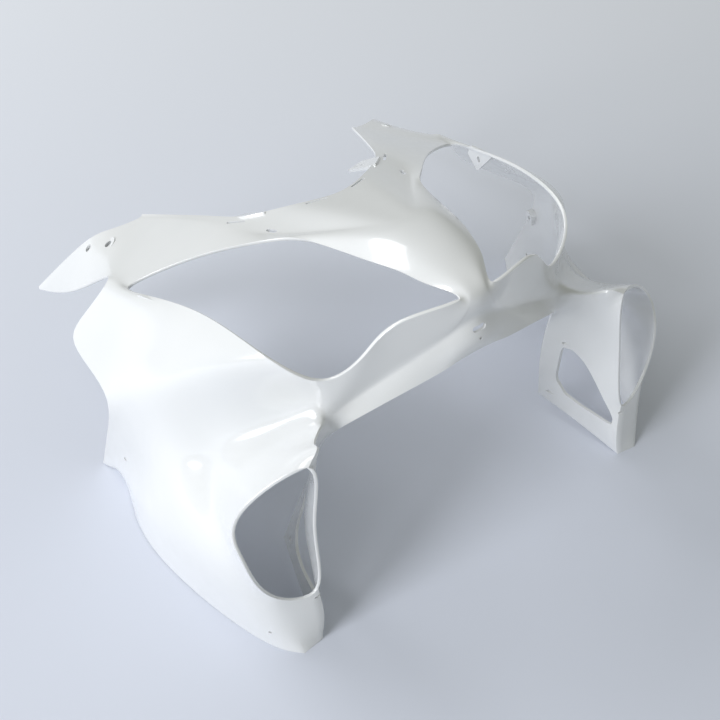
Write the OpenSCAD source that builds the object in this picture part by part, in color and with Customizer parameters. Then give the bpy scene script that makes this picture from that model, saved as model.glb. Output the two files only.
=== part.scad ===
/* [Overall] */
// Width across the two side panels
span = 585; // [520:1:640]
// Length from the toes to the tips of the mirror wings
length = 535; // [480:1:590]
// Height of the nose above the floor
height = 345; // [310:1:380]
// Thickness of the moulded wall
wall = 3.2; // [2.6:0.1:3.6]

/* [Mirror holes] */
// Diameter of the two mirror bolt holes in each wing
mirror_hole_d = 9; // [6:0.5:11]
// Distance between the two mirror bolt holes of one wing
mirror_hole_pitch = 38; // [30:1:44]
// Wall left around a mirror bolt hole in its boss
mirror_boss_wall = 5; // [3:0.5:7]
// Depth of a mirror boss from the outer skin
mirror_boss_depth = 9; // [6:0.5:12]

/* [Small holes] */
// Diameter of the fastener holes in the legs
screw_hole_d = 5; // [3:0.5:7]
// Length of the badge slot in the chin
chin_slot_length = 14; // [8:1:20]
// Width of the badge slot in the chin
chin_slot_width = 6; // [3:0.5:8]
// Length of the windscreen clip slots
clip_slot_length = 22; // [12:1:28]
// Width of the windscreen clip slots
clip_slot_width = 3; // [2:0.5:4]

/* [Tabs] */
// Thickness of the fixing tabs
tab_thickness = 3; // [2:0.1:4]
// Diameter of the holes in the fixing tabs
tab_hole_d = 5; // [3:0.5:6]
// Corner radius of the window in each leg, as a share of its sides
window_round = 0.22; // [0.05:0.01:0.4]

/* [Hidden] */
paint = [0.93, 0.94, 0.95];

refinements = 2;

// Rails of one half, from the middle plane outwards.
// Each point is [across, back, up], in mm on the finished skin.
// Lower edge of the chin, then the back edge of the leg down to its heel
low_rail = [
    [0, 46, 270], [22, 47, 267], [38, 49, 261], [73, 58, 246], [108, 70, 226],
    [124, 78, 212], [130, 83, 202], [134, 87, 191], [137, 91, 176], [140, 95, 154],
    [147, 101, 112], [160, 108, 58], [171, 113, 14]];
// Middle of the dark band under the chin and of the leg's inner wall
band_rail = [
    [0, 44, 288], [22, 48, 283], [36, 53, 276], [70, 63, 257], [106, 75, 233],
    [127, 81, 218], [135, 80, 215], [143, 77, 211], [153, 72, 206], [163, 65, 188],
    [169, 64, 136], [178, 66, 68], [185, 60, 7]];
// Crease along the chin, then the inner lip of the intake and the toe
crease_rail = [
    [0, 52, 309], [20, 56, 300], [33, 59, 291], [66, 69, 268], [104, 81, 241],
    [130, 84, 228], [138, 81, 229], [148, 74, 231], [161, 60, 236], [175, 41, 242],
    [183, 32, 164], [190, 14, 80], [197, 3, 0]];
// Brow under the headlight, then the outer lip of the intake
brow_rail = [
    [0, 54, 335], [9, 54, 335], [17, 55, 335], [70, 70, 327], [98, 77, 296],
    [131, 93, 268], [145, 105, 249], [163, 115, 220], [191, 112, 192],
    [240, 64, 192], [249, 43, 152], [236, 28, 92], [220, 0, 0]];
// Side panel a quarter of the way back, and the front of the nose bar
front_rail = [
    [0, 84, 343], [17, 84, 341], [29, 84, 335], undef, undef, [165, 123, 291],
    [178, 134, 276], [194, 148, 244], [208, 155, 193], [231, 145, 138],
    [256, 105, 130], [265, 82, 84], [254, 48, 0]];
// Side panel half way back, and the middle of the nose bar
middle_rail = [
    [0, 113, 345], [22, 113, 342], [38, 113, 333], undef, undef, [183, 218, 275],
    [198, 210, 263], [218, 203, 245], [242, 208, 211], [256, 211, 155],
    [266, 212, 95], [283, 192, 58], [293, 190, 1]];
// Back edge of the side panel, and the back of the nose bar
back_rail = [
    [0, 140, 342], [28, 145, 338], [50, 150, 323], undef, undef, [204, 324, 219],
    [225, 376, 187], [268, 399, 122], [273, 252, 173], [290, 314, 2],
    [286, 306, 1], [280, 298, 1], [272, 288, 1]];
// Lower edge of the wing that carries the mirror
wing_rail = [
    [0, 156, 338], [32, 166, 331], [68, 224, 298], [91, 255, 284], [138, 307, 249],
    [194, 345, 212], [212, 393, 188], [240, 445, 136], [257, 533, 72]];
// Crest beside the windscreen, out to the tip of the wing
crest_rail = [
    [0, 168, 333], [22, 178, 328], [55, 226, 299], [86, 275, 275], [111, 359, 239],
    [146, 453, 189], [174, 469, 175], [201, 491, 152], [257, 535, 75]];
// Inner edge of the windscreen seat
seat_rail = [
    [0, 268, 290], [36, 282, 284], [60, 301, 272], [84, 326, 257], [102, 364, 239],
    [139, 455, 191]];
RAILS = [low_rail, band_rail, crease_rail, brow_rail, front_rail, middle_rail,
    back_rail, wing_rail, crest_rail, seat_rail];

// Columns of skin on one half that each gap between two rails holds, as [first, last]
SKIN = [
    [[0, 11]],
    [[0, 11]],
    [[0, 8], [11, 11]],
    [[0, 1], [5, 11]],
    [[0, 1], [5, 11]],
    [[0, 1], [5, 11]],
    [[0, 1], [5, 5]],
    [[0, 7]],
    [[0, 4]]];
half_columns = 12;
// Rails that stay a crease
CREASES = [2, 8];
// Points of one half that stay sharp, and those that end with a small radius
CORNERS = [[6, 9], [7, 8], [8, 8], [2, 12], [3, 12]];
SOFT_CORNERS = [[6, 7], [6, 8]];

function mirrored(p, side) = [p[0] * side, p[1], p[2]];

// Both halves of one rail, from the right side panel to the left one
function whole_rail(rail) = [
    for (c = [-half_columns : half_columns])
        let (p = rail[abs(c)])
        is_undef(p) ? undef : mirrored(p, sign(c))];
function held(gap, c) = len([for (run = gap) if (c >= run[0] && c <= run[1]) 1]) > 0;
function whole_gap(gap) = [
    for (c = [-half_columns : half_columns - 1]) held(gap, c >= 0 ? c : -1 - c)];

function solid(skin, r, c) =
    r >= 0 && r < len(skin) && c >= 0 && c < len(skin[0]) && skin[r][c];
function around(r, c) = [[r - 1, c - 1], [r - 1, c], [r, c - 1], [r, c]];
function solid_of(skin, cells) = [for (k = cells) if (solid(skin, k[0], k[1])) k];
function at(grid, k) = grid[k[0]][k[1]];
function face_middle(grid, r, c) =
    (grid[r][c] + grid[r + 1][c] + grid[r][c + 1] + grid[r + 1][c + 1]) / 4;
function has(list, item) = len([for (k = list) if (k == item) 1]) > 0;

// Ends of the open edges that meet at a point
function open_ends(skin, r, c) = [
    for (e = [
        [[r - 1, c], [[r - 1, c - 1], [r - 1, c]]],
        [[r + 1, c], [[r, c - 1], [r, c]]],
        [[r, c - 1], [[r - 1, c - 1], [r, c - 1]]],
        [[r, c + 1], [[r - 1, c], [r, c]]]])
        if (len(solid_of(skin, e[1])) == 1) e[0]];

// Where a point of the net lands on the smooth skin, or after one refinement
function rounded(grid, skin, r, c, creases, corners, on_skin) =
    let (
        n = len(solid_of(skin, around(r, c))),
        v = grid[r][c],
        ends = n == 4 ? (has(creases, r) ? [[r, c - 1], [r, c + 1]] : [])
            : open_ends(skin, r, c))
    n == 0 ? undef
    : n == 1 || has(corners, [r, c]) ? v
    : len(ends) == 2 ? (
        let (s = at(grid, ends[0]) + at(grid, ends[1]))
        on_skin ? (4 * v + s) / 6 : (6 * v + s) / 8)
    : n < 4 ? v
    : let (
        e = grid[r - 1][c] + grid[r + 1][c] + grid[r][c - 1] + grid[r][c + 1],
        d = grid[r - 1][c - 1] + grid[r - 1][c + 1] + grid[r + 1][c - 1] + grid[r + 1][c + 1])
    on_skin ? (16 * v + 4 * e + d) / 36 : (36 * v + 6 * e + d) / 64;

// The net is moved outwards until the smooth skin passes through the rails
function passed_through(target, net, skin, creases, corners, times) =
    times == 0 ? net
    : passed_through(target, [
        for (r = [0 : len(net) - 1]) [
            for (c = [0 : len(net[0]) - 1])
                let (s = rounded(net, skin, r, c, creases, corners, true))
                is_undef(s) ? undef : net[r][c] + target[r][c] - s]],
        skin, creases, corners, times - 1);

function edge_point(grid, skin, a, b, cells, creased) =
    let (near = solid_of(skin, cells))
    len(near) == 0 ? undef
    : len(near) == 1 || creased ? (at(grid, a) + at(grid, b)) / 2
    : (at(grid, a) + at(grid, b) + face_middle(grid, near[0][0], near[0][1])
        + face_middle(grid, near[1][0], near[1][1])) / 4;

function refined_grid(grid, skin, creases, corners) = [
    for (i = [0 : 2 * len(grid) - 2]) [
        for (j = [0 : 2 * len(grid[0]) - 2])
            let (r = floor(i / 2), c = floor(j / 2))
            i % 2 == 0 && j % 2 == 0
                ? rounded(grid, skin, r, c, creases, corners, false)
            : i % 2 == 1 && j % 2 == 1
                ? (solid(skin, r, c) ? face_middle(grid, r, c) : undef)
            : i % 2 == 0
                ? edge_point(grid, skin, [r, c], [r, c + 1], [[r - 1, c], [r, c]],
                    has(creases, r))
            : edge_point(grid, skin, [r, c], [r + 1, c], [[r, c - 1], [r, c]], false)]];
function refined_skin(skin) = [
    for (i = [0 : 2 * len(skin) - 1]) [
        for (j = [0 : 2 * len(skin[0]) - 1]) skin[floor(i / 2)][floor(j / 2)]]];
function smooth(grid, skin, creases, corners, soft_corners, times) =
    times == 0 ? [grid, skin]
    : smooth(refined_grid(grid, skin, creases, concat(corners, soft_corners)),
        refined_skin(skin), 2 * creases, 2 * corners, [], times - 1);

target = [for (rail = RAILS) whole_rail(rail)];
net_skin = [for (gap = SKIN) whole_gap(gap)];
function on_both_halves(list) = concat(
    [for (k = list) [k[0], half_columns + k[1]]],
    [for (k = list) [k[0], half_columns - k[1]]]);
corners = on_both_halves(CORNERS);
soft_corners = on_both_halves(SOFT_CORNERS);
net = passed_through(target, target, net_skin, CREASES, concat(corners, soft_corners), 2);
result = smooth(net, net_skin, CREASES, corners, soft_corners, refinements);
skin = result[1];

// The skin is brought to the stated span, length and height
drawn = [for (row = result[0]) for (p = row) if (!is_undef(p)) p];
function extent(k) = max([for (p = drawn) p[k]]) - min([for (p = drawn) p[k]]);
factor = [span / extent(0), length / extent(1), height / extent(2)];
function scaled(p) = [p[0] * factor[0], p[1] * factor[1], p[2] * factor[2]];
outer = [for (row = result[0]) [for (p = row) is_undef(p) ? undef : scaled(p)]];
rows = len(outer);
columns = len(outer[0]);

// Outward direction at a point, from the faces that meet there
function unit(v) = v / norm(v);
function face_direction(r, c) =
    unit(cross(outer[r + 1][c + 1] - outer[r][c], outer[r + 1][c] - outer[r][c + 1]));
function added(list, i = 0) = i == len(list) - 1 ? list[i] : list[i] + added(list, i + 1);
function direction(r, c) =
    unit(added([for (k = solid_of(skin, around(r, c))) face_direction(k[0], k[1])]));
// The inner skin, with the edge that stands on the floor kept flat
function inner_point(p, out) =
    let (q = p - wall * out)
    [q[0], q[1], p[2] < 4 ? p[2] : q[2]];
inner = [
    for (r = [0 : rows - 1]) [
        for (c = [0 : columns - 1])
            is_undef(outer[r][c]) ? undef : inner_point(outer[r][c], direction(r, c))]];

points = [
    for (grid = [outer, inner]) for (row = grid) for (p = row)
        is_undef(p) ? [0, 0, 0] : p];
function id(r, c, layer) = (layer * rows + r) * columns + c;
function face(a, b, c, d) = [[a, c, b], [a, d, c]];
function turned(f) = [for (i = [len(f) - 1 : -1 : 0]) f[i]];
function sheet(r, c, layer) = face(
    id(r, c, layer), id(r, c + 1, layer), id(r + 1, c + 1, layer), id(r + 1, c, layer));
function rim(a, b) = face(
    id(a[0], a[1], 0), id(a[0], a[1], 1), id(b[0], b[1], 1), id(b[0], b[1], 0));
faces = [
    for (r = [0 : rows - 2]) for (c = [0 : columns - 2]) if (skin[r][c]) each concat(
        sheet(r, c, 0),
        [for (f = sheet(r, c, 1)) turned(f)],
        solid(skin, r - 1, c) ? [] : rim([r, c], [r, c + 1]),
        solid(skin, r + 1, c) ? [] : rim([r + 1, c + 1], [r + 1, c]),
        solid(skin, r, c - 1) ? [] : rim([r + 1, c], [r, c]),
        solid(skin, r, c + 1) ? [] : rim([r, c + 1], [r + 1, c + 1]))];

skin_points = [for (grid = [outer, inner]) for (row = grid) for (p = row) if (!is_undef(p)) p];
floor_z = min([for (p = skin_points) p[2]]);
middle_y = (min([for (p = skin_points) p[1]]) + max([for (p = skin_points) p[1]])) / 2;

function without(v, z) = v - (v * z) * z;

// Stands its children at p with their Z along z and their X as near x as it can be
module placed(p, z, x) {
    c = unit(z);
    a = unit(without(x, c));
    b = cross(c, a);
    o = scaled(p);
    multmatrix([
        [a[0], b[0], c[0], o[0]],
        [a[1], b[1], c[1], o[1]],
        [a[2], b[2], c[2], o[2]],
        [0, 0, 0, 1]])
        children();
}

module both_sides() {
    children();
    mirror([1, 0, 0]) children();
}

module hole(d) {
    cylinder(d = d, h = 24, center = true, $fn = 24);
}

module slot(across, d) {
    gap = across - d;
    translate([-gap / 2, 0, 0]) hole(d);
    translate([gap / 2, 0, 0]) hole(d);
    cube([gap, d, 24], center = true);
}

// Two bolt holes in each wing, one behind the other, square to the skin
mirror_at = [194.5, 460, 169];
mirror_out = [0.49, 0.36, 0.79];
mirror_row = [0.39, 0.73, -0.57];
module at_mirror_holes() {
    for (side = [-0.5, 0.5])
        placed(mirror_at, mirror_out, mirror_row)
            translate([side * mirror_hole_pitch, 0, 0])
                children();
}
module mirror_boss() {
    translate([0, 0, -mirror_boss_depth])
        cylinder(d = mirror_hole_d + 2 * mirror_boss_wall, h = mirror_boss_depth - 2, $fn = 32);
}

// Tab that hangs inside the side panel below the headlight
module headlight_tab() {
    placed([194.9, 264, 251], [0.98, -0.2, 0], [0.2, 0.98, 0])
        translate([0, 0, -tab_thickness / 2])
            linear_extrude(tab_thickness)
                difference() {
                    polygon([[0, -1.7], [50, -23.7], [53, -37], [28, -43]]);
                    translate([28, -27]) circle(d = tab_hole_d + 2, $fn = 24);
                }
}

// Tab that reaches back and down from the windscreen seat
module seat_tab() {
    placed([71, 312, 265], [-0.155, 0.616, 0.769], [0.632, 0.661, -0.402])
        translate([0, 0, -tab_thickness])
            linear_extrude(tab_thickness)
                difference() {
                    polygon([[-14, -5], [16, -5], [40, 21], [27, 37], [-6, 9]]);
                    translate([17, 16]) circle(d = tab_hole_d, $fn = 24);
                    translate([26, 25]) circle(d = tab_hole_d, $fn = 24);
                }
}

// Small square boss on the inner face of the side panel
panel_boss_at = [271, 259, 129];
panel_boss_out = [0.96, -0.25, 0.11];
module panel_boss() {
    placed(panel_boss_at, panel_boss_out, [0, 0, 1])
        translate([-7, -7, -9])
            cube([14, 14, 7]);
}

// Outline of the window in the inner wall of each leg, as [back, up]
window_corners = [[83, 135], [73, 134], [17, 58], [17, 46], [60, 40], [80, 44], [91, 66]];
function bend(a, b, c, t) =
    (1 - t) * (1 - t) * (b + (a - b) * window_round)
    + 2 * t * (1 - t) * b + t * t * (b + (c - b) * window_round);
module window() {
    n = len(window_corners);
    translate([120 * factor[0], 0, 0])
        rotate([90, 0, 90])
            linear_extrude(92 * factor[0])
                polygon([
                    for (i = [0 : n - 1]) for (t = [0, 0.33, 0.67, 1])
                        let (p = bend(window_corners[(i + n - 1) % n], window_corners[i],
                            window_corners[(i + 1) % n], t))
                        [p[0] * factor[1], p[1] * factor[2]]]);
}

module shell() {
    polyhedron(points = points, faces = faces, convexity = 10);
}

module added_parts() {
    at_mirror_holes() mirror_boss();
    headlight_tab();
    seat_tab();
    panel_boss();
}

module cuts() {
    at_mirror_holes() hole(mirror_hole_d);
    window();
    // Fasteners in the inner wall of the leg
    placed([157, 81, 143], [0.78, 0.6, 0.15], [0, 0, 1]) hole(screw_hole_d);
    placed([171, 97, 31], [0.94, 0.28, 0.19], [0, 1, 0]) slot(screw_hole_d + 4, screw_hole_d);
    placed([187, 12, 70], [0.93, 0.33, -0.1], [0, 0, 1]) hole(screw_hole_d - 1.5);
    // Fasteners in the lower corner and the toe of the side panel
    placed([276, 264, 59], [0.98, 0.21, -0.03], [0, 1, 0]) hole(screw_hole_d);
    placed([242, 26, 26], [0.87, -0.5, 0], [0, 0, 1]) hole(screw_hole_d - 1.5);
    placed(panel_boss_at, panel_boss_out, [0, 0, 1])
        translate([0, 0, -11]) cylinder(d = screw_hole_d, h = 9, $fn = 24);
    // Clips of the windscreen
    placed([24, 271, 289.5], [0.03, 0.37, 0.93], [36, 14, -6])
        slot(clip_slot_length, clip_slot_width);
    placed([90, 318, 258], [0.2, 0.32, 0.93], [0.54, 0.69, -0.48])
        slot(clip_slot_length, clip_slot_width);
    placed([77, 268, 279], [0.27, 0.32, 0.91], [0.28, 0.88, -0.4])
        slot(clip_slot_length - 8, clip_slot_width + 1);
}

module fairing() {
    color(paint)
        translate([0, -middle_y, -floor_z])
            difference() {
                union() {
                    shell();
                    both_sides() added_parts();
                }
                both_sides() cuts();
                placed([0, 47, 298], [0, -0.94, 0.34], [1, 0, 0])
                    slot(chin_slot_length, chin_slot_width);
                placed([0, 45, 287], [0, -0.97, 0.25], [1, 0, 0]) hole(screw_hole_d - 2);
            }
}

fairing();
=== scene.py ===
import math

import bmesh
import bpy
import numpy as np
from mathutils import Matrix, Vector


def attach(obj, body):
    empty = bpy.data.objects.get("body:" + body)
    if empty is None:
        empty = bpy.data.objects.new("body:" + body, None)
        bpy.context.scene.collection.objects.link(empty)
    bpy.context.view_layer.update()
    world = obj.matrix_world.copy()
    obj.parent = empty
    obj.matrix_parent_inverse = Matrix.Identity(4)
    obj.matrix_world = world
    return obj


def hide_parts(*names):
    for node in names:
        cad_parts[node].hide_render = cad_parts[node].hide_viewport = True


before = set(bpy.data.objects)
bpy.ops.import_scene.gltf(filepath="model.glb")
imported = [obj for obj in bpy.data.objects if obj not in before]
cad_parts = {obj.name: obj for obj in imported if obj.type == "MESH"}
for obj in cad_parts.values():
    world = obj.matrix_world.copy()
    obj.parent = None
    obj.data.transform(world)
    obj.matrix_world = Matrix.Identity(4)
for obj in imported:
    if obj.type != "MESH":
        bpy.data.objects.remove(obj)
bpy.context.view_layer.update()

# ---------------------------------------------------------------- sizes, in mm as in the part
SPAN, LENGTH, HEIGHT = 585.0, 535.0, 345.0
WALL = 3.2
MIRROR_HOLE, MIRROR_PITCH, BOSS_WALL, BOSS_DEPTH = 9.0, 38.0, 5.0, 9.0
SCREW, TAB, TAB_HOLE = 5.0, 3.0, 5.0
CLIP_LONG, CLIP_WIDE = 22.0, 3.0
CHIN_LONG, CHIN_WIDE = 14.0, 6.0
WINDOW_ROUND, TAB_ROUND, PLATE_ROUND = 0.22, 0.12, 0.1  # share of a side that a corner's curve takes
RIM_BULGE = 0.55  # how far the middle of an open edge stands out
FOOT = 4.0  # below this height the feet are cut flat
SHARP = 38  # degrees between two faces that stay a sharp edge
HALF = 12  # columns from the middle plane to the outer end of a rail
_ = None  # a place on a rail that the skin doesn't use

# Rails of one half from the middle plane outwards, as in the part: across, back, up.
RAILS = [
    # lower edge of the chin, back edge of the leg
    [(0, 46, 270), (22, 47, 267), (38, 49, 261), (73, 58, 246), (108, 70, 226), (124, 78, 212), (130, 83, 202),
     (134, 87, 191), (137, 91, 176), (140, 95, 154), (147, 101, 112), (160, 108, 58), (171, 113, 14)],
    # middle of the band under the chin and of the leg's inner wall
    [(0, 44, 288), (22, 48, 283), (36, 53, 276), (70, 63, 257), (106, 75, 233), (127, 81, 218), (135, 80, 215),
     (143, 77, 211), (153, 72, 206), (163, 65, 188), (169, 64, 136), (178, 66, 68), (185, 60, 7)],
    # crease of the chin, inner lip of the intake
    [(0, 52, 309), (20, 56, 300), (33, 59, 291), (66, 69, 268), (104, 81, 241), (130, 84, 228), (138, 81, 229),
     (148, 74, 231), (161, 60, 236), (175, 41, 242), (183, 32, 164), (190, 14, 80), (197, 3, 0)],
    # brow, outer lip of the intake
    [(0, 54, 335), (9, 54, 335), (17, 55, 335), (70, 70, 327), (98, 77, 296), (131, 93, 268), (145, 105, 249),
     (163, 115, 220), (191, 112, 192), (240, 64, 192), (249, 43, 152), (236, 28, 92), (220, 0, 0)],
    # side panel, front quarter, and the nose bar
    [(0, 84, 343), (17, 84, 341), (29, 84, 335), _, _, (165, 123, 291), (178, 134, 276),
     (194, 148, 244), (208, 155, 193), (231, 145, 138), (256, 105, 130), (265, 82, 84), (254, 48, 0)],
    # side panel, middle
    [(0, 113, 345), (22, 113, 342), (38, 113, 333), _, _, (183, 218, 275), (198, 210, 263),
     (218, 203, 245), (242, 208, 211), (256, 211, 155), (266, 212, 95), (283, 192, 58), (293, 190, 1)],
    # side panel, back edge
    [(0, 140, 342), (28, 145, 338), (50, 150, 323), _, _, (204, 324, 219), (225, 376, 187),
     (268, 399, 122), (273, 252, 173), (290, 314, 2), (286, 306, 1), (280, 298, 1), (272, 288, 1)],
    # lower edge of the mirror wing
    [(0, 156, 338), (32, 166, 331), (68, 224, 298), (91, 255, 284), (138, 307, 249), (194, 345, 212),
     (212, 393, 188), (240, 445, 136), (257, 533, 72)],
    # crest beside the windscreen
    [(0, 168, 333), (22, 178, 328), (55, 226, 299), (86, 275, 275), (111, 359, 239), (146, 453, 189),
     (174, 469, 175), (201, 491, 152), (257, 535, 75)],
    # inner edge of the windscreen seat
    [(0, 268, 290), (36, 282, 284), (60, 301, 272), (84, 326, 257), (102, 364, 239), (139, 455, 191)],
]
# Columns of skin that each gap between two rails holds.
SKIN = [[(0, 11)], [(0, 11)], [(0, 8), (11, 11)], [(0, 1), (5, 11)], [(0, 1), (5, 11)], [(0, 1), (5, 11)],
        [(0, 1), (5, 5)], [(0, 7)], [(0, 4)]]
CREASES = {2: 2, 8: 2}  # rail, and for how many refinements it stays sharp
CORNERS = [(6, 9), (7, 8), (8, 8), (2, 12), (3, 12)]  # rail and column of points that stay where they are
SOFT_CORNERS = [(6, 7), (6, 8)]  # the same, for the first refinement only


# ---------------------------------------------------------------- the moulded skin
def net():
    """Both halves of every rail on one grid, and which gaps of the grid are skin."""
    grid = np.zeros((len(RAILS), 2 * HALF + 1, 3))
    skin = np.zeros((len(RAILS) - 1, 2 * HALF), bool)
    for r, rail in enumerate(RAILS):
        pts = np.array([(0, 0, 0) if p is None else p for p in rail], float)
        n = len(pts)
        grid[r, HALF:HALF + n] = pts
        grid[r, HALF - n + 1:HALF + 1] = (pts * (-1, 1, 1))[::-1]
    for r, runs in enumerate(SKIN):
        for first, last in runs:
            skin[r, HALF + first:HALF + last + 1] = True
            skin[r, HALF - 1 - last:HALF - first] = True
    return grid, skin


def neighbours(grid):
    """The grid shifted one step up, down, left and right, with zeros past its border."""
    p = np.pad(grid, ((1, 1), (1, 1), (0, 0)))
    return p[:-2, 1:-1], p[2:, 1:-1], p[1:-1, :-2], p[1:-1, 2:]


def settled(grid, skin, creases, fixed, on_skin):
    """Each point drawn towards its neighbours. Inside it is 36 times itself, plus 6 times its four neighbours, plus
    its four diagonals, over 64. On an open edge or a crease it is 6 times itself plus the two ends, over 8.
    With on_skin it is the point's place on the finished skin: 16, 4 and 1 over 36, and 4 and 1 over 6."""
    m = np.pad(skin, 1)
    a, b, c, d = m[:-1, :-1], m[:-1, 1:], m[1:, :-1], m[1:, 1:]
    count = a.astype(int) + b + c + d
    up, down, left, right = neighbours(grid)
    p = np.pad(grid, ((1, 1), (1, 1), (0, 0)))
    diagonal = p[:-2, :-2] + p[:-2, 2:] + p[2:, :-2] + p[2:, 2:]
    inside = ((16 * grid + 4 * (up + down + left + right) + diagonal) / 36 if on_skin
              else (36 * grid + 6 * (up + down + left + right) + diagonal) / 64)
    open_up, open_down, open_left, open_right = a ^ b, c ^ d, a ^ c, b ^ d
    ends = (up * open_up[..., None] + down * open_down[..., None]
            + left * open_left[..., None] + right * open_right[..., None])
    number = open_up.astype(int) + open_down + open_left + open_right
    edge = (4 * grid + ends) / 6 if on_skin else (6 * grid + ends) / 8
    folded = (4 * grid + left + right) / 6 if on_skin else (6 * grid + left + right) / 8
    out = grid.copy()
    full = count == 4
    fold_row = np.zeros(full.shape, bool)
    fold_row[list(creases)] = True
    out[full & ~fold_row] = inside[full & ~fold_row]
    out[full & fold_row] = folded[full & fold_row]
    rim = (count < 4) & (count > 1) & (number == 2)
    out[rim] = edge[rim]
    for k in fixed:
        out[k] = grid[k]
    out[count == 0] = 0
    return out


def refined(grid, skin, creases, fixed):
    """The grid at half the spacing: face middles, edge middles drawn to their two faces, and settled points."""
    rows, columns = grid.shape[:2]
    middle = (grid[:-1, :-1] + grid[1:, :-1] + grid[:-1, 1:] + grid[1:, 1:]) / 4 * skin[..., None]
    mp = np.pad(middle, ((1, 1), (1, 1), (0, 0)))
    sp = np.pad(skin, 1)
    out = np.zeros((2 * rows - 1, 2 * columns - 1, 3))
    out[::2, ::2] = settled(grid, skin, creases, fixed, False)
    out[1::2, 1::2] = middle
    above, below = sp[:rows, 1:columns], sp[1:rows + 1, 1:columns]
    half = (grid[:, :-1] + grid[:, 1:]) / 2
    both = (grid[:, :-1] + grid[:, 1:] + mp[:rows, 1:columns] + mp[1:rows + 1, 1:columns]) / 4
    fold = np.zeros((rows, 1), bool)
    fold[list(creases)] = True
    pick = (above & below & ~fold)[..., None]
    out[::2, 1::2] = np.where(pick, both, half) * (above | below)[..., None]
    before, after = sp[1:rows, :columns], sp[1:rows, 1:columns + 1]
    half = (grid[:-1] + grid[1:]) / 2
    both = (grid[:-1] + grid[1:] + mp[1:rows, :columns] + mp[1:rows, 1:columns + 1]) / 4
    out[1::2, ::2] = np.where((before & after)[..., None], both, half) * (before | after)[..., None]
    return out, np.repeat(np.repeat(skin, 2, 0), 2, 1)


def both_halves(points):
    """Rail and column of the same points on both halves of the grid: the middle column plus and minus c."""
    return [(r, HALF + c) for r, c in points] + [(r, HALF - c) for r, c in points]


def finished_skin(levels):
    """The rails pushed out until the skin passes through them, then refined."""
    grid, skin = net()
    firm, soft = both_halves(CORNERS), both_halves(SOFT_CORNERS)
    target, cage = grid.copy(), grid.copy()
    for _push in range(2):
        cage = cage + target - settled(cage, skin, CREASES, firm + soft, True)
    creases = dict(CREASES)
    for level in range(levels):
        fixed = firm + soft if level == 0 else firm
        cage, skin = refined(cage, skin, [r for r, n in creases.items() if n > level], fixed)
        creases = {2 * r: n for r, n in creases.items()}
        firm = [(2 * r, 2 * c) for r, c in firm]
    return cage, skin


def used(skin):
    """Grid points that touch skin."""
    m = np.pad(skin, 1)
    return m[:-1, :-1] | m[:-1, 1:] | m[1:, :-1] | m[1:, 1:]


def gathered(values, skin):
    """Sum of a value of each gap at the four grid points round it."""
    v = values * skin[..., None]
    out = np.zeros((skin.shape[0] + 1, skin.shape[1] + 1, v.shape[-1]))
    out[:-1, :-1] += v
    out[1:, :-1] += v
    out[:-1, 1:] += v
    out[1:, 1:] += v
    return out


def unit(v):
    """Each vector over its own length."""
    return v / np.maximum(np.linalg.norm(v, axis=-1, keepdims=True), 1e-9)


def fitted():
    """Factor and shift that bring the part's own net to its size: size over extent, then the box's middle over the
    middle of the floor and its lowest point on the floor."""
    coarse, skin = finished_skin(2)
    points = coarse[used(skin)]
    factor = np.array([SPAN, LENGTH, HEIGHT]) / (points.max(0) - points.min(0))
    low = (points * factor).min(0)
    return factor, np.array([0.0, -(low[1] + LENGTH / 2), -low[2]])


FACTOR, SHIFT = fitted()


def placed(p):
    """A point of the part's drawing, in metres in the row frame."""
    return (np.asarray(p, float) * FACTOR + SHIFT) / 1000


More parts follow.
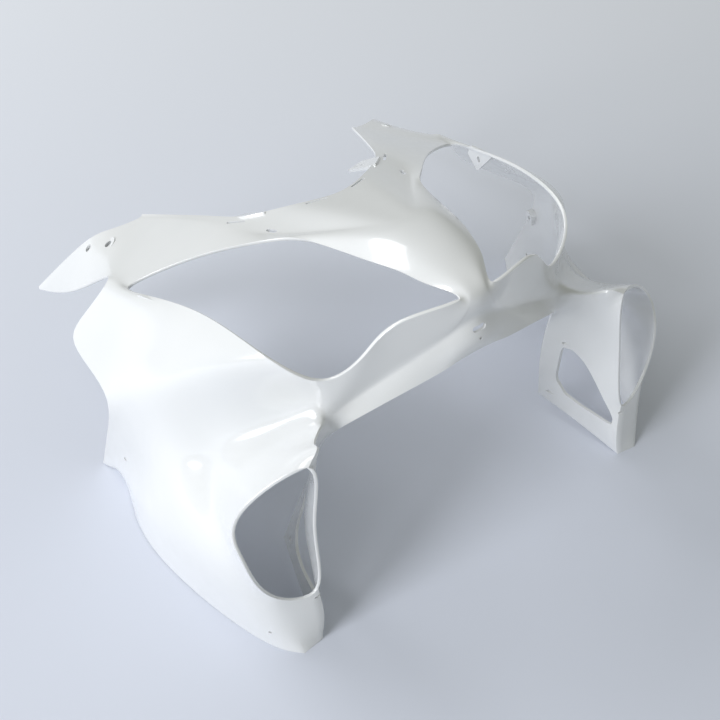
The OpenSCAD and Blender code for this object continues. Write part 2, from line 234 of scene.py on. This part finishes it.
def shell_mesh(levels=3, turns=6):
    """Outer skin, inner skin one wall inside it, and round every open edge a band of turns + 1 rings. Ring k lies at
    t = k / turns through the wall, and outside the edge by the bulge times one less the cube of |2t - 1|."""
    grid, skin = finished_skin(levels)
    outer = grid * FACTOR + SHIFT
    across = np.cross(outer[1:, 1:] - outer[:-1, :-1], outer[1:, :-1] - outer[:-1, 1:])
    out = unit(gathered(unit(across), skin))
    middles = (outer[:-1, :-1] + outer[1:, :-1] + outer[:-1, 1:] + outer[1:, 1:]) / 4
    number = gathered(np.ones(skin.shape + (1,)), skin)
    away = outer - gathered(middles, skin) / np.maximum(number, 1)
    away = unit(away - (away * out).sum(-1, keepdims=True) * out)
    standing = (outer[..., 2] < FOOT)[..., None] * np.array([0, 0, 1.0])
    away = away * (1 - standing * 0.9)
    through = out - out * standing
    rings = [outer]
    for k in range(1, turns):
        t = k / turns
        rings.append(outer - WALL * t * through + RIM_BULGE * (1 - abs(2 * t - 1) ** 3) * away)
    rings.append(outer - WALL * through)
    rings = np.array(rings)
    rows, columns = outer.shape[:2]
    ids = np.arange(rings.size // 3).reshape(len(rings), rows, columns)

    def quads(layer, turned):
        """Four corners of each gap that is skin, on one ring, in the other order where turned."""
        i = ids[layer]
        q = np.stack([i[:-1, :-1], i[1:, :-1], i[1:, 1:], i[:-1, 1:]], -1)[skin]
        return q[:, ::-1] if turned else q

    def ordered(start, end, forward):
        """Both ends of each edge, turned round where forward is false, so that the skin lies on one side of all."""
        pair = np.stack([start, end], 1)
        return np.where(forward[:, None, None], pair, pair[:, ::-1])

    m = np.pad(skin, 1)
    outwards = across[skin][0] @ out[:-1, :-1][skin][0] > 0
    faces = [quads(0, outwards), quads(len(rings) - 1, not outwards)]
    above, below = m[:rows, 1:columns], m[1:rows + 1, 1:columns]
    r, c = np.nonzero(above != below)
    on_rails = ordered(np.column_stack([r, c]), np.column_stack([r, c + 1]), below[r, c])
    before, after = m[1:rows, :columns], m[1:rows, 1:columns + 1]
    r, c = np.nonzero(before != after)
    between_rails = ordered(np.column_stack([r + 1, c]), np.column_stack([r, c]), after[r, c])
    edges = np.concatenate([on_rails, between_rails])
    a, b = edges[:, 0], edges[:, 1]
    for k in range(turns):
        q = np.stack([ids[k][a[:, 0], a[:, 1]], ids[k][b[:, 0], b[:, 1]],
                      ids[k + 1][b[:, 0], b[:, 1]], ids[k + 1][a[:, 0], a[:, 1]]], -1)
        faces.append(q[:, ::-1] if outwards else q)
    faces = np.concatenate(faces)
    keep, index = np.unique(faces, return_inverse=True)
    return rings.reshape(-1, 3)[keep] / 1000, index.reshape(faces.shape)


def add_mesh(name, points, faces):
    """A piece with its points and faces, at the origin and unturned."""
    mesh = bpy.data.meshes.new(name)
    faces = [[int(k) for k in face] for face in faces]
    mesh.from_pydata(np.asarray(points, float).tolist(), [], faces)
    mesh.validate()
    mesh.update()
    obj = bpy.data.objects.new(name, mesh)
    bpy.context.scene.collection.objects.link(obj)
    return obj


# ---------------------------------------------------------------- straight-walled pieces and cuts
def stand(p, z, x, side=1):
    """Axes of a small piece at p: z along z, x as near x as it can be. side -1 gives the other half's."""
    c = unit(np.array(z, float))
    a = np.array(x, float)
    a = unit(a - (a @ c) * c)
    b = np.cross(c, a)
    o = np.array(p, float) * FACTOR
    axes = np.array([a, b, c])
    if side < 0:
        axes = axes * (-1, 1, 1)
        o = o * (-1, 1, 1)
    return axes, o + SHIFT


def prism(outline, low, high, where):
    """The outline swept from low to high along the piece's own z, with both ends closed."""
    axes, o = where
    outline = np.array(outline, float)
    n = len(outline)
    rings = [np.column_stack([outline, np.full(n, h)]) @ axes + o for h in (low, high)]
    i = np.arange(n)
    j = (i + 1) % n
    sides = np.stack([i, j, j + n, i + n], -1).tolist()
    faces = [list(range(n))[::-1], list(range(n, 2 * n))] + sides
    return np.concatenate(rings) / 1000, faces


def joined(name, parts):
    """One piece made of several closed solids, each solid's faces counted on from the last one's points."""
    points, faces, n = [], [], 0
    for p, f in parts:
        points.append(p)
        faces += [[k + n for k in face] for face in f]
        n += len(p)
    obj = add_mesh(name, np.concatenate(points), faces)
    outward(obj)
    return obj


def outward(obj):
    """Turns every face of closed solids outwards."""
    bm = bmesh.new()
    bm.from_mesh(obj.data)
    bmesh.ops.recalc_face_normals(bm, faces=bm.faces)
    bm.to_mesh(obj.data)
    bm.free()


def circle(d, n=32, centre=(0, 0)):
    """n points round a circle of diameter d: half of d times cosine and sine of even angles."""
    t = np.linspace(0, 2 * np.pi, n, endpoint=False)
    return np.column_stack([np.cos(t), np.sin(t)]) * d / 2 + centre


def stadium(long, wide, n=24):
    """A slot's outline: a circle whose two halves are moved apart along x."""
    ring = circle(wide, n)
    t = np.linspace(0, 2 * np.pi, n, endpoint=False)
    return ring + np.column_stack([np.sign(np.cos(t) + 1e-6) * (long - wide) / 2, np.zeros(n)])


def bent(corners, share, n=7):
    """An outline with each corner b rounded: b pulled along a quadratic curve between its two sides."""
    p = np.array(corners, float)
    a, c = np.roll(p, 1, 0), np.roll(p, -1, 0)
    t = np.linspace(0, 1, n)[None, :, None]
    start, end = p + (a - p) * share, p + (c - p) * share
    out = (1 - t) ** 2 * start[:, None] + 2 * t * (1 - t) * p[:, None] + t ** 2 * end[:, None]
    return out.reshape(-1, 2)


def tiny(long_side, where, wide=None, depth=12.0):
    """A round pin, or with wide a slot's pin, that goes right through the wall at where."""
    outline = circle(long_side, 28) if wide is None else stadium(long_side, wide)
    return prism(outline, -depth, depth, where)


# Where the small features sit: place, direction outwards, and the direction of their own x.
MIRROR = ((194.5, 460, 169), (0.49, 0.36, 0.79), (0.39, 0.73, -0.57))
SEAT_TAB = ((71, 312, 265), (-0.155, 0.616, 0.769), (0.632, 0.661, -0.402))
HEAD_TAB = ((194.9, 264, 251), (0.98, -0.2, 0), (0.2, 0.98, 0))
BOSS = ((271, 259, 129), (0.96, -0.25, 0.11), (0, 0, 1))
WINDOW = [(83, 135), (73, 134), (17, 58), (17, 46), (60, 40), (80, 44), (91, 66)]  # back, up
WINDOW_REACH = (120, 212)  # across
SEAT_PLATE = [(-14, -5), (16, -5), (40, 21), (27, 37), (-6, 9)]
SEAT_PLATE_HOLES = [(17, 16), (26, 25)]
HEAD_PLATE = [(0, -1.7), (50, -23.7), (53, -37), (28, -43)]
HEAD_PLATE_HOLE = (28, -27)
SUNK = 2.0  # how deep under the outer face a boss starts, so that it ends inside the wall
SQUARE = [(-7, -7), (7, -7), (7, 7), (-7, 7)]
# Holes and slots of one half: length, width or None for a round hole, place, direction, own x.
FIXINGS = [
    (SCREW, None, (157, 81, 143), (0.78, 0.6, 0.15), (0, 0, 1)),
    (SCREW + 4, SCREW, (171, 97, 31), (0.94, 0.28, 0.19), (0, 1, 0)),
    (SCREW - 1.5, None, (187, 12, 70), (0.93, 0.33, -0.1), (0, 0, 1)),
    (SCREW, None, (276, 264, 59), (0.98, 0.21, -0.03), (0, 1, 0)),
    (SCREW - 1.5, None, (242, 26, 26), (0.87, -0.5, 0), (0, 0, 1)),
]
CLIPS = [
    (CLIP_LONG, CLIP_WIDE, (24, 271, 289.5), (0.03, 0.37, 0.93), (36, 14, -6)),
    (CLIP_LONG, CLIP_WIDE, (90, 318, 258), (0.2, 0.32, 0.93), (0.54, 0.69, -0.48)),
    (CLIP_LONG - 8, CLIP_WIDE + 1, (77, 268, 279), (0.27, 0.32, 0.91), (0.28, 0.88, -0.4)),
]
# The slot and the small hole in the middle of the chin.
CHIN = [
    (CHIN_LONG, CHIN_WIDE, (0, 47, 298), (0, -0.94, 0.34), (1, 0, 0)),
    (SCREW - 2, None, (0, 45, 287), (0, -0.97, 0.25), (1, 0, 0)),
]


def holes(rows, side=1):
    """One pin for each row of a list of holes and slots."""
    return [tiny(long, stand(place, out, along, side), wide) for long, wide, place, out, along in rows]


def cuts():
    """All that is cut from the skin and the bosses: mirror bores, leg windows, fixing holes and clip slots."""
    parts = []
    for side in (1, -1):
        for s in (-0.5, 0.5):
            parts.append(prism(circle(MIRROR_HOLE, 40, (s * MIRROR_PITCH, 0)), -12, 12, stand(*MIRROR, side)))
        outline = bent(WINDOW, WINDOW_ROUND) * FACTOR[1:]
        axes = np.array([[0, 1, 0], [0, 0, 1], [side, 0, 0]], float)
        near, far = (reach * FACTOR[0] for reach in WINDOW_REACH)
        parts.append(prism(outline, near, far, (axes, SHIFT)))
        parts += holes(FIXINGS, side)
        parts.append(prism(circle(SCREW, 24), -BOSS_DEPTH - SUNK, -SUNK, stand(*BOSS, side)))
        parts += holes(CLIPS, side)
    return joined("cuts", parts + holes(CHIN))


def tab_cuts():
    """The holes of the tabs."""
    parts = []
    for side in (1, -1):
        parts.append(prism(circle(TAB_HOLE + 2, 28, HEAD_PLATE_HOLE), -6, 6, stand(*HEAD_TAB, side)))
        for centre in SEAT_PLATE_HOLES:
            parts.append(prism(circle(TAB_HOLE, 28, centre), -8, 6, stand(*SEAT_TAB, side)))
    return joined("tab_cuts", parts)


def seat_tabs():
    """Two plates that reach back and down from the windscreen seat."""
    outline = bent(SEAT_PLATE, TAB_ROUND, 4)
    return joined("seat_tabs", [prism(outline, -TAB, 0, stand(*SEAT_TAB, s)) for s in (1, -1)])


def headlight_tabs():
    """Two plates that hang inside the side panels, below the headlights."""
    outline = bent(HEAD_PLATE, PLATE_ROUND, 4)
    return joined("headlight_tabs", [prism(outline, -TAB / 2, TAB / 2, stand(*HEAD_TAB, s)) for s in (1, -1)])


def bosses():
    """The round bosses behind the mirror holes and the square ones inside the side panels."""
    parts = []
    for side in (1, -1):
        for s in (-0.5, 0.5):
            ring = circle(MIRROR_HOLE + 2 * BOSS_WALL, 48, (s * MIRROR_PITCH, 0))
            parts.append(prism(ring, -BOSS_DEPTH, -SUNK, stand(*MIRROR, side)))
        parts.append(prism(bent(SQUARE, TAB_ROUND, 4), -BOSS_DEPTH, -SUNK, stand(*BOSS, side)))
    return joined("bosses", parts)


def cut_by(obj, cutter):
    """Cuts one closed piece out of another and keeps the result as the piece's own mesh."""
    mod = obj.modifiers.new("cut", "BOOLEAN")
    mod.operation = "DIFFERENCE"
    mod.solver = "EXACT"
    mod.object = cutter
    depsgraph = bpy.context.evaluated_depsgraph_get()
    mesh = bpy.data.meshes.new_from_object(obj.evaluated_get(depsgraph))
    obj.modifiers.clear()
    old = obj.data
    obj.data = mesh
    bpy.data.meshes.remove(old)


def smooth(obj, angle):
    """Smooth shading, apart from edges where two faces meet at more than the angle."""
    obj.data.polygons.foreach_set("use_smooth", np.ones(len(obj.data.polygons), bool))
    obj.data.set_sharp_from_angle(angle=math.radians(angle))


# ---------------------------------------------------------------- finish
def gloss_white():
    """Gloss white moulded plastic: a slight uneven tone, a fine skin of waviness and faint scuffs."""
    mat = bpy.data.materials.new("gloss_white_plastic")
    mat.use_nodes = True
    t = mat.node_tree
    bsdf = t.nodes["Principled BSDF"]
    where = t.nodes.new("ShaderNodeTexCoord")
    broad = t.nodes.new("ShaderNodeTexNoise")
    broad.inputs["Scale"].default_value = 6.0
    broad.inputs["Detail"].default_value = 3.0
    tone = t.nodes.new("ShaderNodeValToRGB")
    tone.color_ramp.elements[0].position = 0.3
    tone.color_ramp.elements[0].color = (0.80, 0.81, 0.815, 1)
    tone.color_ramp.elements[1].position = 0.7
    tone.color_ramp.elements[1].color = (0.86, 0.865, 0.865, 1)
    t.links.new(where.outputs["Object"], broad.inputs["Vector"])
    t.links.new(broad.outputs["Fac"], tone.inputs["Fac"])
    t.links.new(tone.outputs["Color"], bsdf.inputs["Base Color"])
    scuffs = t.nodes.new("ShaderNodeTexNoise")
    scuffs.inputs["Scale"].default_value = 55.0
    scuffs.inputs["Detail"].default_value = 4.0
    rough = t.nodes.new("ShaderNodeMapRange")
    rough.inputs["From Min"].default_value = 0.3
    rough.inputs["From Max"].default_value = 0.75
    rough.inputs["To Min"].default_value = 0.16
    rough.inputs["To Max"].default_value = 0.26
    t.links.new(where.outputs["Object"], scuffs.inputs["Vector"])
    t.links.new(scuffs.outputs["Fac"], rough.inputs["Value"])
    t.links.new(rough.outputs["Result"], bsdf.inputs["Roughness"])
    waves = t.nodes.new("ShaderNodeTexNoise")
    waves.inputs["Scale"].default_value = 22.0
    waves.inputs["Detail"].default_value = 1.0
    bump = t.nodes.new("ShaderNodeBump")
    bump.inputs["Strength"].default_value = 0.08
    bump.inputs["Distance"].default_value = 0.001
    t.links.new(where.outputs["Object"], waves.inputs["Vector"])
    t.links.new(waves.outputs["Fac"], bump.inputs["Height"])
    t.links.new(bump.outputs["Normal"], bsdf.inputs["Normal"])
    bsdf.inputs["Coat Weight"].default_value = 0.8
    bsdf.inputs["Coat Roughness"].default_value = 0.05
    return mat


def paper_floor():
    """Pale studio paper with painted light: a little brighter towards the back, in place of the lamps' uneven light
    on the floor.
    """
    mat = bpy.data.materials.new("studio_paper")
    mat.use_nodes = True
    t = mat.node_tree
    bsdf = t.nodes["Principled BSDF"]
    bsdf.inputs["Roughness"].default_value = 0.9
    where = t.nodes.new("ShaderNodeTexCoord")
    turn = t.nodes.new("ShaderNodeMapping")
    turn.inputs["Rotation"].default_value = (0, 0, math.radians(-56))
    spread = t.nodes.new("ShaderNodeSeparateXYZ")
    ramp = t.nodes.new("ShaderNodeMapRange")
    ramp.inputs["From Min"].default_value = -0.2
    ramp.inputs["From Max"].default_value = 1.2
    tone = t.nodes.new("ShaderNodeValToRGB")
    # painted light: the paper's colour runs from darker at the front to brighter at the back, standing in for uneven
    # lamp light on the floor
    tone.color_ramp.elements[0].color = (0.70, 0.73, 0.82, 1)
    tone.color_ramp.elements[1].color = (0.88, 0.90, 0.95, 1)
    t.links.new(where.outputs["Object"], turn.inputs["Vector"])
    t.links.new(turn.outputs["Vector"], spread.inputs["Vector"])
    t.links.new(spread.outputs["X"], ramp.inputs["Value"])
    t.links.new(ramp.outputs["Result"], tone.inputs["Fac"])
    t.links.new(tone.outputs["Color"], bsdf.inputs["Base Color"])
    return mat


# ---------------------------------------------------------------- make the pieces
white = gloss_white()
cutter = cuts()
small_cutter = tab_cuts()
fairing = add_mesh("fairing_skin", *shell_mesh())
tabs, hangers, studs = seat_tabs(), headlight_tabs(), bosses()
cut_by(fairing, cutter)
cut_by(studs, cutter)
cut_by(tabs, small_cutter)
cut_by(hangers, small_cutter)
for c in (cutter, small_cutter):
    bpy.data.objects.remove(c)
for piece in (fairing, tabs, hangers, studs):
    piece.data.materials.clear()
    piece.data.materials.append(white)
    smooth(piece, SHARP)
    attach(piece, "root")
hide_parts("fairing")

# ---------------------------------------------------------------- floor, light, camera
FLOOR = 6.0  # metres from the middle to each side
floor = add_mesh("studio_floor", [(-FLOOR, -FLOOR, 0), (FLOOR, -FLOOR, 0), (FLOOR, FLOOR, 0), (-FLOOR, FLOOR, 0)],
                 [(0, 1, 2, 3)])
floor.data.materials.append(paper_floor())


MIDDLE = Vector((0, 0, 0.15))


def lamp(name, at, size, power, colour):
    """A soft rectangular lamp that points at the middle of the part."""
    light = bpy.data.lights.new(name, "AREA")
    light.shape = "RECTANGLE"
    light.size, light.size_y = size
    light.energy = power
    light.color = colour
    obj = bpy.data.objects.new(name, light)
    obj.location = at
    obj.rotation_euler = (MIDDLE - Vector(at)).to_track_quat("-Z", "Y").to_euler()
    bpy.context.scene.collection.objects.link(obj)


lamp("window_left", (-3.4, -0.15, 2.9), (1.5, 1.5), 64, (0.93, 0.95, 1))
lamp("window_low", (-3.8, -0.6, 1.5), (1.6, 1.6), 58, (0.95, 0.97, 1))
lamp("high_back", (-1.2, 2.6, 2.9), (2.4, 1.6), 46, (0.96, 0.97, 1))

world = bpy.data.worlds.new("studio")
bpy.context.scene.world = world
world.use_nodes = True
room = world.node_tree.nodes["Background"]
room.inputs["Color"].default_value = (0.96, 0.99, 0.92, 1)
room.inputs["Strength"].default_value = 0.34

camera_data = bpy.data.cameras.new("camera")
camera_data.sensor_width = 36.0
camera_data.lens = 50.0
camera_data.clip_start = 0.02
camera = bpy.data.objects.new("camera", camera_data)
# Columns: the picture's right, its up, and the way back from the part to the camera.
axes = Matrix(((0.8305, 0.4294, -0.3549), (-0.5571, 0.6401, -0.5290), (0.0, 0.6370, 0.7708)))
camera.matrix_world = Matrix.Translation(Vector(placed((-399.2, -364.2, 937.7)))) @ axes.to_4x4()
bpy.context.scene.collection.objects.link(camera)
bpy.context.scene.camera = camera
bpy.context.scene.view_settings.view_transform = "Standard"


def corners(box):
    """A box's two corners as plain numbers."""
    return [[float(v) for v in corner] for corner in box]
